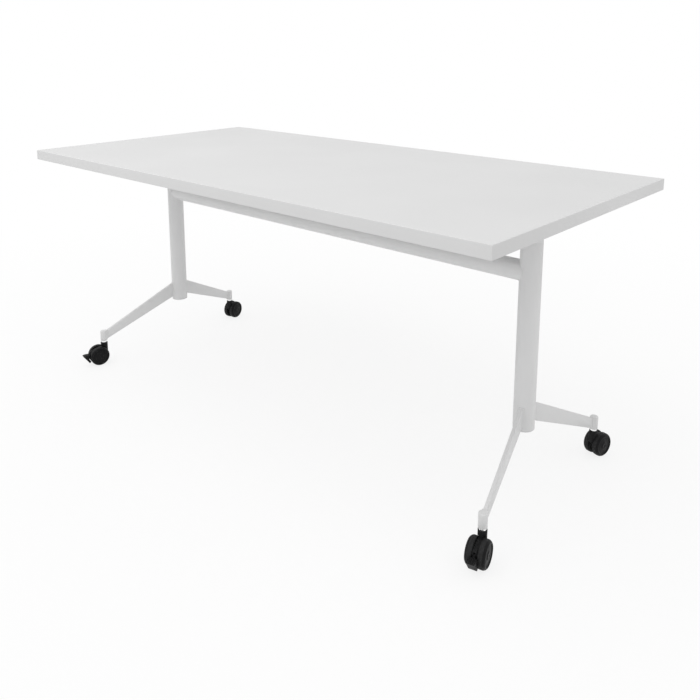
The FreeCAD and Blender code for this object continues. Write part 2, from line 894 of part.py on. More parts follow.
def castor_wheel(face):
    """One moulded wheel: crowned shoulder, dished face with a hub, hollow back."""
    bore = axle_diameter / 2 + running_clearance
    rim = wheel_radius - wheel_rim
    hub_back = bore + wheel_recess_wall
    profile = [
        (bore, wheel_inner, 0),
        (hub_back, wheel_inner, 0),
        (hub_back, wheel_inner + wheel_recess, 0),
        (rim - wheel_dish, wheel_inner + wheel_recess, 0),
        (rim, wheel_inner, 0),
        (wheel_radius, wheel_inner, wheel_inner_round),
        (wheel_radius, wheel_outer, wheel_shoulder),
        (rim, wheel_outer, 0),
        (rim - wheel_dish, wheel_outer - wheel_dish, 0),
        (wheel_hub_radius + wheel_dish, wheel_outer - wheel_dish, 0),
        (wheel_hub_radius, wheel_outer, 0),
        (0, wheel_outer, 0),
        (0, wheel_outer - wheel_face_wall, 0),
        (bore, wheel_outer - wheel_face_wall, 0),
    ]
    return turned(profile, Vec(castor_trail, 0, wheel_radius), Y_AXIS * face)


def brake_lever():
    """Foot lever: a tongue between the wheels, a pad to press and a chin whose heel meets the treads."""
    clear = wheel_radius + brake_wheel_gap
    pad_clear = wheel_radius + brake_pad_gap
    top = wheel_radius + brake_rise
    under = top - brake_thickness
    heel_turn = math.radians(brake_heel_turn)
    slope = math.radians(brake_chin_slope)
    heel = (castor_trail + clear * math.cos(heel_turn), wheel_radius - clear * math.sin(heel_turn))
    outer_heel = (heel[0] + brake_chin * math.sin(slope), heel[1] - brake_chin * math.cos(slope))
    tip_x = outer_heel[0] + (top - outer_heel[1]) / math.tan(slope)
    elbow_x = heel[0] + (under - heel[1]) / math.tan(slope)
    outline = [
        (castor_trail + math.sqrt(pad_clear ** 2 - brake_rise ** 2), top, 0),
        (tip_x, top, brake_round),
        (outer_heel[0], outer_heel[1], brake_round),
        (heel[0], heel[1], brake_round),
        (elbow_x, under, brake_elbow_round),
        (castor_trail + math.sqrt(pad_clear ** 2 - (under - wheel_radius) ** 2), under, 0),
    ]
    pedal = prism_y(outline, -brake_width / 2, brake_width / 2)
    first_rib = Vec(castor_trail + pad_clear + brake_rib_pitch, -brake_width / 2, top)
    rib = cylinder(brake_rib_radius, first_rib, Y_AXIS, brake_width)
    ribs = [moved(rib, x=step * brake_rib_pitch) for step in range(brake_ribs)]
    half = brake_tongue / 2
    pad = (castor_trail + pad_clear + brake_thickness / 2, under + brake_thickness / 2)
    tongue = link_x(brake_pivot, brake_hub_radius, pad, brake_tongue_end, -half, half)
    tongue.rotate(ORIGIN, Z_AXIS, -90)
    pivot_start = Vec(brake_pivot[0], -castor_web / 2, brake_pivot[1])
    pivot = cylinder(brake_pivot_diameter / 2, pivot_start, Y_AXIS, castor_web)
    return joined(tongue, pivot, pedal, *ribs)


def build():
    nodes["table_board"] = table_board()
    nodes["edge_bands_long"] = long_edge_bands()
    nodes["edge_bands_short"] = short_edge_bands()
    nodes["crossbeam"] = crossbeam()
    nodes["pivot_bushes"] = pivot_bushes()
    nodes["rest_bumpers"] = rest_bumpers()
    nodes["bracket_screws"] = bracket_screws()
    nodes["pivot_clips"] = pivot_clips()
    nodes["lock_rod"] = lock_rod()
    nodes["saddle_screws"] = saddle_screws()
    nodes["release_lever"] = release_lever()
    nodes["lock_spring"] = lock_spring()
    nodes["release_grip"] = release_grip()
    for side_name, side in SIDES.items():
        nodes[side_name + "_column"] = column(side)
        nodes[side_name + "_column_cap"] = column_cap(side)
        nodes[side_name + "_tilt_head"] = tilt_head(side)
        nodes[side_name + "_top_bracket"] = top_bracket(side)
        nodes[side_name + "_pivot_pin"] = pivot_pin(side)
        nodes[side_name + "_lock_cam"] = lock_cam(side)
        nodes[side_name + "_rod_saddle"] = rod_saddle(side)
        for end_name, end in ENDS.items():
            corner = end_name + "_" + side_name
            braked = end < 0
            nodes[corner + "_foot_blade"] = foot_blade(side, end)
            nodes[corner + "_castor_socket"] = castor_socket(side, end)
            nodes[corner + "_castor_stem"] = at_castor(castor_stem(), side, end)
            nodes[corner + "_castor_housing"] = at_castor(castor_housing(braked), side, end)
            nodes[corner + "_castor_axle"] = at_castor(castor_axle(), side, end)
            nodes[corner + "_wheel_a"] = at_castor(castor_wheel(-1), side, end)
            nodes[corner + "_wheel_b"] = at_castor(castor_wheel(1), side, end)
            if braked:
                nodes[corner + "_brake_lever"] = at_castor(brake_lever(), side, end)


build()
os.makedirs("parts", exist_ok=True)
for name, shape in nodes.items():
    shape.exportStep("parts/" + name + ".step")
    print(name, len(shape.Solids), "solids", round(shape.Volume / 1000, 2), "cm3", shape.isValid())
print(len(nodes), "nodes")
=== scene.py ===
# %% [markdown]
# # A flip-top table on castors, dressed for its picture
# The table comes from CAD as rigid pieces at their true size, sorted into the bodies that move.
# Blender adds what a drawing leaves out: eased edges, weld seams, screw recesses, tyres, and the
# finish of every surface. Nothing is resized, and each new piece rides on a CAD body, so the table
# still flips, swivels and rolls.

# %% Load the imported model
import json
import math

import bmesh
import bpy
from mathutils import Matrix, Vector


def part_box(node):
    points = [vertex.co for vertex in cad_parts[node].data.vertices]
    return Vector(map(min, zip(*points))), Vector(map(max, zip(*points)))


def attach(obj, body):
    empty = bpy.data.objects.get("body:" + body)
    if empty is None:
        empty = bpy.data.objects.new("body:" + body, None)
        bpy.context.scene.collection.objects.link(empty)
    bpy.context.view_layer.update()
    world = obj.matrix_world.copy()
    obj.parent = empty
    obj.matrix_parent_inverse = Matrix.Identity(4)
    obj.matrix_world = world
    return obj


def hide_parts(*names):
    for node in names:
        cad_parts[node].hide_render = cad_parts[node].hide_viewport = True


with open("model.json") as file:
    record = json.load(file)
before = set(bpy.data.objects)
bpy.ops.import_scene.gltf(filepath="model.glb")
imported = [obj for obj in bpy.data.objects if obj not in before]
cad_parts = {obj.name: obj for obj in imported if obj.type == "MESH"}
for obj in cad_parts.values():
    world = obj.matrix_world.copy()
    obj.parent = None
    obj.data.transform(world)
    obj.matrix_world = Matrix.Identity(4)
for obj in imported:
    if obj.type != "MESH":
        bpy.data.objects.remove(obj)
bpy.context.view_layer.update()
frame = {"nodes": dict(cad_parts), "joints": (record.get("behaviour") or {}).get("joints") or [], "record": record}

record = frame["record"]
bodies = record["behaviour"]["bodies"]
joints = {joint["name"]: joint for joint in frame["joints"]}
body_of_node = {node: body for body, members in bodies.items() for node in members}
slot_of_node = {part["node"]: part["material_slot"] for part in record["subparts"]}

# %% [markdown]
# ## Reading sizes from the frame
# A new piece has to fit the CAD piece beside it. Its sizes could be typed in again, but they would go
# wrong as soon as the drawing changes, so they are measured on that piece. A turned piece is described
# by its axis: how far it reaches along the axis, and how far out from it.

# %% Helpers that measure
MM = 0.001
UP = Vector((0.0, 0.0, 1.0))


def middle(node):
    """Centre of a node's box."""
    low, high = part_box(node)
    return (low + high) / 2


def points_of(node):
    """Every point of a node's mesh."""
    return [vertex.co.copy() for vertex in frame["nodes"][node].data.vertices]


def reach_along(points, origin, axis):
    """Lowest and highest place along an axis, and the greatest distance from it."""
    places = [(point - origin).dot(axis) for point in points]
    radii = [((point - origin) - axis * place).length for point, place in zip(points, places)]
    return min(places), max(places), max(radii)


# %% [markdown]
# ## Effects that several finishes share
# Paint, melamine and moulded plastic differ in scale more than in kind. Each has a slow drift of
# tone, a fine skin that breaks up the highlight, and rubbed patches where it is a little smoother.
# Images could carry these effects, but they need unwrapped pieces and go soft close up. Noise has
# neither limit, so each effect is built once from noise, as a node group with named inputs, and each
# material sets its own numbers.

# %% Tone drift
VALUE = "NodeSocketFloat"
COLOUR = "NodeSocketColor"
PLACE = "NodeSocketVector"
DRIFT_DETAIL = 4.0
DRIFT_LOW = 0.3
DRIFT_HIGH = 0.7


def shader_group(name, inputs, outputs):
    """An empty shader group with its sockets, and the two nodes that stand for them."""
    group = bpy.data.node_groups.new(name, "ShaderNodeTree")
    for label, kind in inputs:
        group.interface.new_socket(label, in_out="INPUT", socket_type=kind)
    for label, kind in outputs:
        group.interface.new_socket(label, in_out="OUTPUT", socket_type=kind)
    return group, group.nodes.new("NodeGroupInput"), group.nodes.new("NodeGroupOutput")


def noise_in(group, entry, scale_from, detail):
    """Noise texture on the group's own vector, with its scale from a socket."""
    noise = group.nodes.new("ShaderNodeTexNoise")
    noise.inputs["Detail"].default_value = detail
    group.links.new(entry.outputs["Vector"], noise.inputs["Vector"])
    group.links.new(scale_from, noise.inputs["Scale"])
    return noise


def tone_drift_group():
    """Colour that gets slightly lighter and darker over the surface."""
    group, entry, leave = shader_group(
        "tone_drift",
        [("Vector", PLACE), ("Colour", COLOUR), ("Scale", VALUE), ("Amount", VALUE)],
        [("Colour", COLOUR)])
    noise = noise_in(group, entry, entry.outputs["Scale"], DRIFT_DETAIL)
    spread = group.nodes.new("ShaderNodeMapRange")
    spread.inputs["From Min"].default_value = DRIFT_LOW
    spread.inputs["From Max"].default_value = DRIFT_HIGH
    spread.inputs["To Min"].default_value = -1.0
    spread.inputs["To Max"].default_value = 1.0
    group.links.new(noise.outputs["Fac"], spread.inputs["Value"])
    factor = group.nodes.new("ShaderNodeMath")
    factor.operation = "MULTIPLY_ADD"
    factor.inputs[2].default_value = 1.0
    group.links.new(spread.outputs["Result"], factor.inputs[0])
    group.links.new(entry.outputs["Amount"], factor.inputs[1])
    tint = group.nodes.new("ShaderNodeVectorMath")
    tint.operation = "SCALE"
    group.links.new(entry.outputs["Colour"], tint.inputs[0])
    group.links.new(factor.outputs["Value"], tint.inputs["Scale"])
    group.links.new(tint.outputs["Vector"], leave.inputs["Colour"])
    return group


tone_drift = tone_drift_group()
print("node group", tone_drift.name)

# %% Fine skin
CELL_DETAIL = 2.0
SWELL_DETAIL = 1.0
SWELL_SCALE = 0.22


def skin_group():
    """Height of a fine skin: small cells on a slower swell."""
    group, entry, leave = shader_group(
        "fine_skin",
        [("Vector", PLACE), ("Scale", VALUE), ("Swell", VALUE)],
        [("Height", VALUE)])
    cells = noise_in(group, entry, entry.outputs["Scale"], CELL_DETAIL)
    slower = group.nodes.new("ShaderNodeMath")
    slower.operation = "MULTIPLY"
    slower.inputs[1].default_value = SWELL_SCALE
    group.links.new(entry.outputs["Scale"], slower.inputs[0])
    swell = noise_in(group, entry, slower.outputs["Value"], SWELL_DETAIL)
    total = group.nodes.new("ShaderNodeMath")
    total.operation = "MULTIPLY_ADD"
    group.links.new(swell.outputs["Fac"], total.inputs[0])
    group.links.new(entry.outputs["Swell"], total.inputs[1])
    group.links.new(cells.outputs["Fac"], total.inputs[2])
    group.links.new(total.outputs["Value"], leave.inputs["Height"])
    return group


fine_skin = skin_group()
print("node group", fine_skin.name)

# %% Rubbed patches
PATCH_DETAIL = 5.0
PATCH_LOW = 0.32
PATCH_HIGH = 0.68


def rubbed_group():
    """Roughness between two values, in soft patches like those left by hands and cloths."""
    group, entry, leave = shader_group(
        "rubbed_patches",
        [("Vector", PLACE), ("Scale", VALUE), ("Smooth", VALUE), ("Rough", VALUE)],
        [("Roughness", VALUE)])
    noise = noise_in(group, entry, entry.outputs["Scale"], PATCH_DETAIL)
    spread = group.nodes.new("ShaderNodeMapRange")
    spread.interpolation_type = "SMOOTHSTEP"
    spread.inputs["From Min"].default_value = PATCH_LOW
    spread.inputs["From Max"].default_value = PATCH_HIGH
    group.links.new(noise.outputs["Fac"], spread.inputs["Value"])
    group.links.new(entry.outputs["Smooth"], spread.inputs["To Min"])
    group.links.new(entry.outputs["Rough"], spread.inputs["To Max"])
    group.links.new(spread.outputs["Result"], leave.inputs["Roughness"])
    return group


rubbed_patches = rubbed_group()
print("node group", rubbed_patches.name)

# %% [markdown]
# ## One recipe for a finish, and the board's own
# Every finish is the same chain with other numbers: drifting colour, patches of roughness, and a skin
# whose height goes through a Bump node. Each material could be wired by itself, but a function keeps
# the wiring in one place. The patterns read Object coordinates, which are metres here because every
# piece sits at the origin, so a Scale of 500 means cells of about two millimetres. The first to use
# the recipe is the board, whose white melamine face has a faint pearl.

# %% Melamine of the board
WHITE_BOARD = (0.65, 0.65, 0.65)


def add_group(material, group, values):
    """A group node in a material, reading Object coordinates."""
    tree = material.node_tree
    node = tree.nodes.new("ShaderNodeGroup")
    node.node_tree = group
    for label, value in values.items():
        node.inputs[label].default_value = value
    tree.links.new(tree.nodes["Texture Coordinate"].outputs["Object"], node.inputs["Vector"])
    return node


def finish(name, colour, drift, patches, skin, strength, depth, metallic=0.0, specular=0.5):
    """A material with drifting tone, rubbed patches and a fine skin.

    drift, patches and skin hold the inputs of the three groups. strength and depth are those of the
    skin's relief, with depth in metres.
    """
    material = bpy.data.materials.new(name)
    material.use_nodes = True
    tree = material.node_tree
    shader = tree.nodes["Principled BSDF"]
    tree.nodes.new("ShaderNodeTexCoord")
    tone = add_group(material, tone_drift, {"Colour": (*colour, 1.0), **drift})
    rub = add_group(material, rubbed_patches, patches)
    relief = add_group(material, fine_skin, skin)
    bump = tree.nodes.new("ShaderNodeBump")
    bump.inputs["Strength"].default_value = strength
    bump.inputs["Distance"].default_value = depth
    tree.links.new(tone.outputs["Colour"], shader.inputs["Base Color"])
    tree.links.new(rub.outputs["Roughness"], shader.inputs["Roughness"])
    tree.links.new(relief.outputs["Height"], bump.inputs["Height"])
    tree.links.new(bump.outputs["Normal"], shader.inputs["Normal"])
    shader.inputs["Metallic"].default_value = metallic
    shader.inputs["Specular IOR Level"].default_value = specular
    return material


board_melamine = finish(
    "board_melamine", WHITE_BOARD,
    drift={"Scale": 2.2, "Amount": 0.012},
    patches={"Scale": 3.0, "Smooth": 0.40, "Rough": 0.48},
    skin={"Scale": 1500.0, "Swell": 0.5}, strength=0.10, depth=0.04 * MM)
print("finish", board_melamine.name)

# %% [markdown]
# ## The other whites
# The edges of the board have a white plastic band, and the frame a white powder coat with a little
# orange peel. On the cast heads the same coat is coarser, and the caps of the columns are moulded
# plastic. One flat white would do from afar, but close up it looks like plaster, so each white has
# its own sheen and relief.

# %% White band, coats and caps
WHITE_EDGE = (0.70, 0.70, 0.70)
WHITE_COAT = (0.75, 0.75, 0.75)

edge_plastic = finish(
    "edge_plastic", WHITE_EDGE,
    drift={"Scale": 5.0, "Amount": 0.012},
    patches={"Scale": 9.0, "Smooth": 0.38, "Rough": 0.46},
    skin={"Scale": 900.0, "Swell": 0.8}, strength=0.10, depth=0.04 * MM)
powder_coat = finish(
    "powder_coat", WHITE_COAT,
    drift={"Scale": 6.0, "Amount": 0.014},
    patches={"Scale": 11.0, "Smooth": 0.38, "Rough": 0.50},
    skin={"Scale": 620.0, "Swell": 1.2}, strength=0.18, depth=0.06 * MM)
cast_coat = finish(
    "cast_coat", WHITE_COAT,
    drift={"Scale": 9.0, "Amount": 0.02},
    patches={"Scale": 14.0, "Smooth": 0.42, "Rough": 0.55},
    skin={"Scale": 420.0, "Swell": 1.6}, strength=0.30, depth=0.09 * MM)
cap_plastic = finish(
    "cap_plastic", WHITE_COAT,
    drift={"Scale": 12.0, "Amount": 0.012},
    patches={"Scale": 16.0, "Smooth": 0.40, "Rough": 0.50},
    skin={"Scale": 900.0, "Swell": 0.6}, strength=0.16, depth=0.05 * MM)
print("finishes", edge_plastic.name, powder_coat.name, cast_coat.name, cap_plastic.name)

# %% [markdown]
# ## Bare metal
# The pins, screws and rod are zinc plated, and the castor stems have a brighter plating. Metal could
# be a mix of glossy shaders, but a Metallic value of 1 already tints the reflection with the base
# colour. The slightly clouded look of plating comes from the patches of roughness.

# %% Zinc plating
ZINC = (0.62, 0.63, 0.65)
BRIGHT_ZINC = (0.94, 0.94, 0.945)

zinc_plate = finish(
    "zinc_plate", ZINC,
    drift={"Scale": 40.0, "Amount": 0.06},
    patches={"Scale": 60.0, "Smooth": 0.24, "Rough": 0.40},
    skin={"Scale": 1400.0, "Swell": 0.8}, strength=0.20, depth=0.03 * MM, metallic=1.0)
bright_zinc = finish(
    "bright_zinc", BRIGHT_ZINC,
    drift={"Scale": 40.0, "Amount": 0.02},
    patches={"Scale": 60.0, "Smooth": 0.14, "Rough": 0.24},
    skin={"Scale": 1400.0, "Swell": 0.8}, strength=0.10, depth=0.03 * MM, metallic=1.0)
print("finishes", zinc_plate.name, bright_zinc.name)

# %% [markdown]
# ## Plastic and rubber
# The castors are black nylon on duller rubber tyres, the rests under the top are soft rubber, and the
# bushes are grey bearing plastic. The tyres are a rubber of their own, and their black is made lighter
# than the wheels' to stand for light falling on the treads, a painted highlight. In light from all
# round even black plastic looks grey, so the nylon and the tyres have a low specular level, which
# keeps them deep, and a bold skin, which keeps a little life in the highlight.

# %% Grey and black plastics and rubbers
BUSH_GREY = (0.34, 0.35, 0.36)
BUMPER_BLACK = (0.028, 0.028, 0.029)
HOUSING_BLACK = (0.009, 0.009, 0.0095)
WHEEL_BLACK = (0.008, 0.008, 0.0085)
# The tyre's black is a rubber of its own, made lighter than the wheel's as painted light on the treads.
TYRE_BLACK_PAINTED_LIT = (0.024, 0.024, 0.0245)

bush_plastic = finish(
    "bush_plastic", BUSH_GREY,
    drift={"Scale": 30.0, "Amount": 0.04},
    patches={"Scale": 40.0, "Smooth": 0.40, "Rough": 0.52},
    skin={"Scale": 1200.0, "Swell": 0.6}, strength=0.20, depth=0.04 * MM)
bumper_rubber = finish(
    "bumper_rubber", BUMPER_BLACK,
    drift={"Scale": 60.0, "Amount": 0.10},
    patches={"Scale": 80.0, "Smooth": 0.68, "Rough": 0.82},
    skin={"Scale": 1600.0, "Swell": 0.8}, strength=0.35, depth=0.08 * MM)
black_nylon = finish(
    "black_nylon", HOUSING_BLACK,
    drift={"Scale": 45.0, "Amount": 0.10},
    patches={"Scale": 60.0, "Smooth": 0.42, "Rough": 0.56},
    skin={"Scale": 1700.0, "Swell": 0.7}, strength=0.35, depth=0.06 * MM, specular=0.14)
wheel_nylon = finish(
    "wheel_nylon", WHEEL_BLACK,
    drift={"Scale": 50.0, "Amount": 0.10},
    patches={"Scale": 70.0, "Smooth": 0.40, "Rough": 0.54},
    skin={"Scale": 1500.0, "Swell": 0.6}, strength=0.25, depth=0.05 * MM, specular=0.12)
# The tyres get the lighter black, a painted highlight for light on their treads.
tyre_rubber_painted_lit = finish(
    "tyre_rubber_painted_lit", TYRE_BLACK_PAINTED_LIT,
    drift={"Scale": 120.0, "Amount": 0.22},
    patches={"Scale": 160.0, "Smooth": 0.58, "Rough": 0.76},
    skin={"Scale": 1900.0, "Swell": 1.0}, strength=0.45, depth=0.09 * MM, specular=0.14)
print("finishes", bush_plastic.name, bumper_rubber.name)
print("finishes", black_nylon.name, wheel_nylon.name, tyre_rubber_painted_lit.name)

# %% Finish of each slot
finish_of_slot = {
    "board_white": board_melamine,
    "edge_white": edge_plastic,
    "frame_white": powder_coat,
    "cap_white": cap_plastic,
    "bracket_white": powder_coat,
    "zinc_steel": zinc_plate,
    "bush_grey": bush_plastic,
    "bumper_rubber": bumper_rubber,
    "saddle_black": black_nylon,
    "castor_black": black_nylon,
    "wheel_black": wheel_nylon,
}
finish_of_ending = {"_tilt_head": cast_coat, "_castor_stem": bright_zinc}


def finish_of_node(node):
    """Finish of a node's slot, unless the ending of its name has one of its own."""
    for ending, special in finish_of_ending.items():
        if node.endswith(ending):
            return special
    return finish_of_slot[slot_of_node[node]]


print(len(finish_of_slot), "slots have a finish")

# %% [markdown]
# ## Turning a mesh into a piece
# A piece is a mesh at the origin that rides on a body. Shading is smooth, and broken only where two
# faces meet at a real edge. No moulded, cut or painted edge is truly sharp, and the light that it
# catches is what makes a piece read as solid. A Bevel modifier would ease the edges too, but the
# operator can leave out the foot of a narrow slit, where a bevel would fold over itself.

# %% Helpers that ease and place
MERGE = 0.001 * MM
SHARP = math.radians(32.0)
FOLDED = math.radians(170.0)
EASE_SEGMENTS = 2
scene = bpy.context.scene
made = []


def ease_edges(bm, width):
    """Round every edge that is sharper than the limit, but not the foot of a narrow slit."""
    sharp = [edge for edge in bm.edges if edge.is_manifold and SHARP < edge.calc_face_angle() < FOLDED]
    bmesh.ops.bevel(
        bm, geom=sharp, offset=width, offset_type="OFFSET", affect="EDGES", segments=EASE_SEGMENTS,
        profile=0.5, material=-1, clamp_overlap=True)
    bmesh.ops.remove_doubles(bm, verts=bm.verts, dist=MERGE)


def piece(bm, name, body, material, replaced=()):
    """Object from a mesh, with its finish, its body and the nodes that it stands for."""
    mesh = bpy.data.meshes.new(name)
    bm.to_mesh(mesh)
    bm.free()
    mesh.shade_smooth()
    mesh.set_sharp_from_angle(angle=SHARP)
    mesh.materials.append(material)
    thing = bpy.data.objects.new(name, mesh)
    scene.collection.objects.link(thing)
    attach(thing, body)
    if replaced:
        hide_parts(*replaced)
    made.append(thing)


print("edges sharper than", round(math.degrees(SHARP)), "degrees are eased")

# %% [markdown]
# ## CAD pieces that stay, with their edges eased
# Most pieces already have the right shape. Their CAD meshes are loose triangles, so each one is
# copied, its points are merged, flat triangles are dissolved into whole faces, and the edges are
# eased by an amount that suits the finish: more on a moulding, less on cut steel. The long edge bands
# run past the short ones, so their cut ends are the four corners of the top. A bevel can't round
# them, because the band's own round is made of short steps that limit the bevel's width. So each end
# is cut into slices, and each slice shrinks towards the band's core along a quarter circle.

# %% Ends of the long edge bands
BAND_ROUND = 1.2 * MM
BAND_CUTS = 5


def round_band_ends(bm):
    """Carry the round along the long bands on round their cut ends."""
    low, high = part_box("edge_bands_long")
    start = high.x - BAND_ROUND
    core_side = high.y - BAND_ROUND
    for cut in range(BAND_CUTS):
        place = start + BAND_ROUND * math.sin(0.5 * math.pi * cut / BAND_CUTS)
        for end in (-1, 1):
            bmesh.ops.bisect_plane(
                bm, geom=bm.verts[:] + bm.edges[:] + bm.faces[:], plane_co=(end * place, 0, 0),
                plane_no=(1, 0, 0))
    for vertex in bm.verts:
        past = min(max(abs(vertex.co.x) - start, 0.0) / BAND_ROUND, 1.0)
        core = vertex.co.copy()
        core.y = max(-core_side, min(core.y, core_side))
        core.z = max(low.z + BAND_ROUND, min(core.z, high.z - BAND_ROUND))
        vertex.co = core + (vertex.co - core) * math.sqrt(1 - past ** 2)
    bmesh.ops.remove_doubles(bm, verts=bm.verts, dist=MERGE)


print("the ends of the long bands get a round of", round(BAND_ROUND / MM, 1), "mm")

# %% Ease the CAD pieces
EASE = {
    "frame_white": 0.5 * MM,
    "cap_white": 0.6 * MM,
    "bracket_white": 0.5 * MM,
    "zinc_steel": 0.25 * MM,
    "bush_grey": 0.2 * MM,
    "bumper_rubber": 0.6 * MM,
    "saddle_black": 0.7 * MM,
    "castor_black": 0.8 * MM,
    "edge_white": 0.15 * MM,
}
REMADE = ("_wheel_", "_screws")
FLAT = math.radians(0.5)


def eased_copy(node):
    """Copy of a CAD node with whole faces and eased edges, which replaces it."""
    slot = slot_of_node[node]
    bm = bmesh.new()
    bm.from_mesh(frame["nodes"][node].data)
    bmesh.ops.remove_doubles(bm, verts=bm.verts, dist=MERGE)
    bmesh.ops.dissolve_limit(bm, angle_limit=FLAT, verts=bm.verts, edges=bm.edges)
    if node == "edge_bands_long":
        round_band_ends(bm)
    ease_edges(bm, EASE[slot])
    piece(bm, node + "-eased", body_of_node[node], finish_of_node(node), (node,))


for node in sorted(frame["nodes"]):
    if node == "table_board" or any(mark in node for mark in REMADE):
        continue
    eased_copy(node)
board = frame["nodes"]["table_board"]
board.data.materials.clear()
board.data.materials.append(board_melamine)
print(len(made), "CAD pieces eased")

# %% [markdown]
# ## Castor wheels
# Each castor has two moulded wheels with a tyre pressed round them. A wheel could be stacked from
# cylinders, but it is a turned shape, so one outline spun round the axle gives it whole: a hub with a
# cap, a dished face with a step, and a shoulder beside the seat of the tyre. The tyre is a second
# outline in its own duller black, lighter than the wheel's as painted light on the tread. Radius and
# width are measured on the CAD wheel.

# %% Outline of a wheel
HUB = 9.0 * MM
CAP_STEP = 0.8 * MM
CAP_WALL = 4.0 * MM
DIMPLE_RIM = 2.7 * MM
DIMPLE_FLOOR = 1.8 * MM
DISH = 2.0 * MM
WELL = 6.0 * MM
RIM = 6.0 * MM
RIM_FLAT = 1.5 * MM
SHOULDER_IN = 1.8 * MM
SHOULDER_DROP = 2.1 * MM
RING_STEP = 0.5 * MM
RING_FOOT_SHARE = 0.62
RING_TOP_SHARE = 0.60
TYRE_DEPTH = 2.2 * MM
TYRE_START = 1.6 * MM
TYRE_END = 11.2 * MM
TYRE_PROUD = 0.25 * MM


def wheel_outline(radius, width, bore):
    """Turned outline of the wheel, from the end of its bore round the inner face to the hub cap."""
    seat = radius - TYRE_DEPTH
    brim = radius - RIM
    lip = radius - TYRE_PROUD
    face = width - DISH
    return [
        (0.0, width - CAP_WALL),
        (bore, width - CAP_WALL),
        (bore, 0.0),
        (HUB, 0.0),
        (HUB, WELL),
        (brim - DISH, WELL),
        (brim, 0.0),
        (lip - TYRE_PROUD, 0.0),
        (lip, TYRE_START),
        (seat, TYRE_START),
        (seat, TYRE_END),
        (lip, TYRE_END),
        (lip - SHOULDER_IN, width - SHOULDER_DROP),
        (brim + RIM_FLAT, width),
        (brim, width),
        (brim - DISH, face),
        (RING_FOOT_SHARE * radius, face),
        (RING_TOP_SHARE * radius, face + RING_STEP),
        (HUB + DISH, face + RING_STEP),
        (HUB, width - CAP_STEP),
        (HUB - CAP_STEP, width),
        (DIMPLE_RIM, width),
        (DIMPLE_FLOOR, width - RING_STEP),
        (0.0, width - RING_STEP),
    ]


print("hub", round(2 * HUB / MM), "mm across, rim", round(RIM / MM), "mm deep")

# %% Outline of a tyre
TREAD_EDGE = 0.6 * MM
TREAD_SIDE = 0.15 * MM
TREAD_TURN = 1.2 * MM


def tyre_outline(radius):
    """Closed outline of the tyre, crowned across its tread."""
    seat = radius - TYRE_DEPTH
    tread_middle = (TYRE_START + TYRE_END) / 2
    return [
        (seat, TYRE_START),
        (radius - TREAD_EDGE, TYRE_START),
        (radius - TREAD_SIDE, TYRE_START + TREAD_TURN),
        (radius, tread_middle),
        (radius - TREAD_SIDE, TYRE_END - TREAD_TURN),
        (radius - TREAD_EDGE, TYRE_END),
        (seat, TYRE_END),
    ]


print("tyre", round((TYRE_END - TYRE_START) / MM, 1), "mm wide")

# %% Wheels and tyres
WHEEL_STEPS = 96
WHEEL_EASE = 0.4 * MM
AXLE_CLEARANCE = 0.05 * MM


def spun(outline, steps, closed=False):
    """Shape turned about Z from an outline of (radius, height) in metres."""
    bm = bmesh.new()
    verts = [bm.verts.new((radius, 0.0, height)) for radius, height in outline]
    pairs = list(zip(verts, verts[1:]))
    if closed:
        pairs.append((verts[-1], verts[0]))
    edges = [bm.edges.new(pair) for pair in pairs]
    bmesh.ops.spin(
        bm, geom=verts + edges, cent=(0, 0, 0), axis=(0, 0, 1), angle=math.tau, steps=steps,
        use_merge=True)
    bmesh.ops.remove_doubles(bm, verts=bm.verts, dist=MERGE)
    bmesh.ops.recalc_face_normals(bm, faces=bm.faces)
    return bm


def placed(origin, z_axis, x_axis):
    """Matrix that takes local Z and X to two directions at an origin."""
    z_axis = z_axis.normalized()
    y_axis = z_axis.cross(x_axis).normalized()
    x_axis = y_axis.cross(z_axis)
    turn = Matrix((x_axis, y_axis, z_axis)).transposed()
    return Matrix.Translation(origin) @ turn.to_4x4()


def make_wheel(node):
    """Wheel and tyre in place of a CAD wheel, on the same axle."""
    corner = node.rsplit("_wheel_", 1)[0]
    axle = Vector(joints[node + "_spin"]["pos_m"])
    outward = Vector(joints[node + "_spin"]["axis"]).normalized()
    if outward.dot(middle(node) - axle) < 0:
        outward.negate()
    inner, outer, radius = reach_along(points_of(node), axle, outward)
    bore = reach_along(points_of(corner + "_castor_axle"), axle, outward)[2] + AXLE_CLEARANCE
    place = placed(axle + outward * inner, outward, UP)
    body = body_of_node[node]
    wheel = spun(wheel_outline(radius, outer - inner, bore), WHEEL_STEPS)
    ease_edges(wheel, WHEEL_EASE)
    bmesh.ops.transform(wheel, matrix=place, verts=wheel.verts)
    piece(wheel, node + "-disc", body, wheel_nylon, (node,))
    tyre = spun(tyre_outline(radius), WHEEL_STEPS, closed=True)
    bmesh.ops.transform(tyre, matrix=place, verts=tyre.verts)
    piece(tyre, node + "-tyre", body, tyre_rubber_painted_lit)


wheels = [node for node in sorted(frame["nodes"]) if "_wheel_" in node]
for node in wheels:
    make_wheel(node)
print(len(wheels), "wheels with tyres")

# %% [markdown]
# ## Screws
# The screws that hold the brackets and the rod's saddles point up into the board, so only their pan
# heads show from below. A cross recess could be cut with a boolean, but that leaves thin faces on a
# small round head. So the head is turned with a shallow pit in it, and the pit's two rings are pulled
# in between the arms. A group of screws is one CAD node, so it is split into its solids first.

# %% One screw with a cross recess
SCREW_STEPS = 32
NEAR = 0.01 * MM
RECESS_DEPTH = 1.6 * MM
RECESS_RADIUS = 2.3 * MM
RECESS_FLOOR_SHARE = 0.45
RECESS_PINCH = 0.36
ARM_LIMIT = 0.45
HEAD_FLAT_SHARE = 0.62
HEAD_TURN_SHARE = 0.86
TURN_RISE_SHARE = 0.22
SIDE_RISE_SHARE = 0.62


